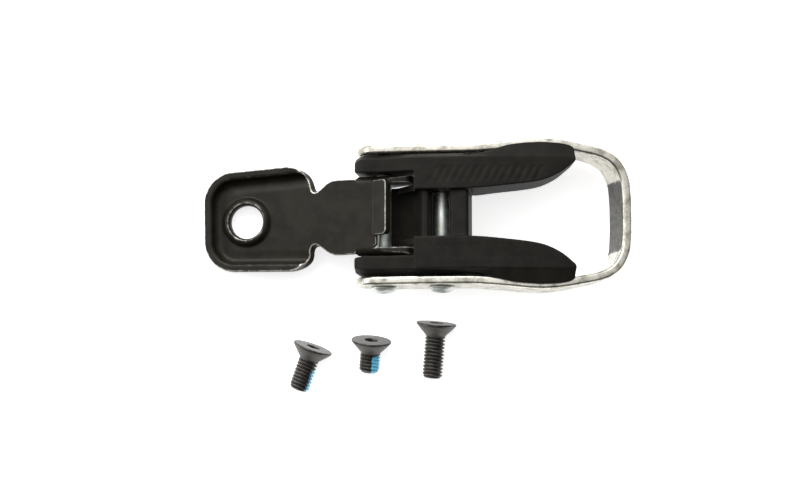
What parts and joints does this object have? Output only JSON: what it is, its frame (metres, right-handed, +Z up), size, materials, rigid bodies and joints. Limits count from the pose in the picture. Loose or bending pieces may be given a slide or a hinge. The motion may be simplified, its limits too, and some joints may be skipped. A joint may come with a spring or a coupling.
{
  "type": "boot buckle",
  "caption": "Over-centre lever buckle for a boot strap: hinged pressed base plate, bent bail with a forked finger insert, riveted cross pins and loose countersunk mounting screws.",
  "frame": {"origin": "centre of the whole part's footprint, on the table it lies on", "axes": "+X along the lever from the base plate to the bail's closed end, +Y across it along the hinge away from the screws, +Z up, away from the table"},
  "size_m": [0.0856, 0.05, 0.014],
  "materials": {
    "aluminium": "satin, brushed along the bar, scuffed edges",
    "nylon": "fine moulded grain",
    "zinc_steel": "bright zinc plate",
    "black_steel": "satin black coat, worn to bright metal at the edges",
    "black_oxide": "oiled black oxide"
  },
  "bodies": {
    "lever": {"bail_frame": "aluminium", "lever_insert": "nylon", "hinge_rivet": "zinc_steel", "hinge_sleeve": "zinc_steel", "catch_rivet": "zinc_steel"},
    "roller": {"catch_roller": "zinc_steel"},
    "plate": {"base_plate": "black_steel"},
    "screw_medium": {"mounting_screw_medium": "black_oxide"},
    "screw_short": {"mounting_screw_short": "black_oxide"},
    "screw_long": {"mounting_screw_long": "black_oxide"}
  },
  "joints": [
    {"name": "plate_hinge", "type": "hinge", "parent": "lever", "child": "plate", "pos_m": [-0.00651, 0.00976, 0.005], "axis": [0, -1, 0], "range_deg": [-25, 170]},
    {"name": "roller_spin", "type": "hinge", "parent": "lever", "child": "roller", "pos_m": [0.00508, 0.00976, 0.00663], "axis": [0, 1, 0], "continuous": true},
    {"name": "lift_screw_medium", "type": "slide", "parent": "lever", "child": "screw_medium", "axis": [0, 0, 1], "range_m": [0, 0.03]},
    {"name": "lift_screw_short", "type": "slide", "parent": "lever", "child": "screw_short", "axis": [0, 0, 1], "range_m": [0, 0.03]},
    {"name": "lift_screw_long", "type": "slide", "parent": "lever", "child": "screw_long", "axis": [0, 0, 1], "range_m": [0, 0.03]}
  ]
}
